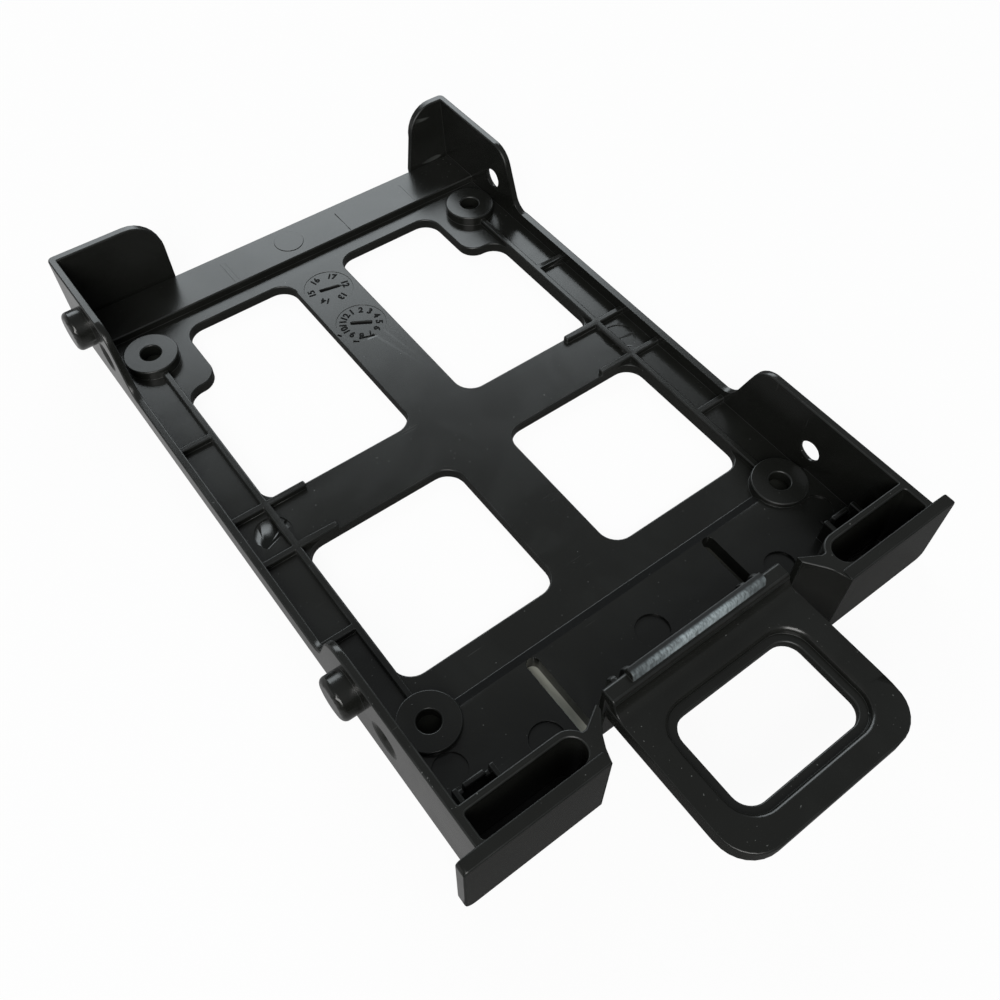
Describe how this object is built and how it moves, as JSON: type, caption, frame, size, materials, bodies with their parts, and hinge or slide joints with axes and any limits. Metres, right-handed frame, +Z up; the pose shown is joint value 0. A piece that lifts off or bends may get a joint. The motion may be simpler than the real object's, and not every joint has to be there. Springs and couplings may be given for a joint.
{
  "type": "hard drive bracket",
  "caption": "Flat moulded carrier for a small hard drive: windowed floor with screw bosses, corner ears, side pegs and a sprung pull handle.",
  "frame": {"origin": "middle of the four screw holes, level with the tops of the screw bosses that the drive rests on", "axes": "+X across the bracket to its right seen from the handle, +Y towards the back, away from the handle, +Z up, out of the tray"},
  "size_m": [0.0797, 0.1312, 0.014],
  "materials": {
    "black_plastic": "satin moulded ABS, fine grain"
  },
  "bodies": {
    "root": {"bracket": "black_plastic"}
  },
  "joints": []
}
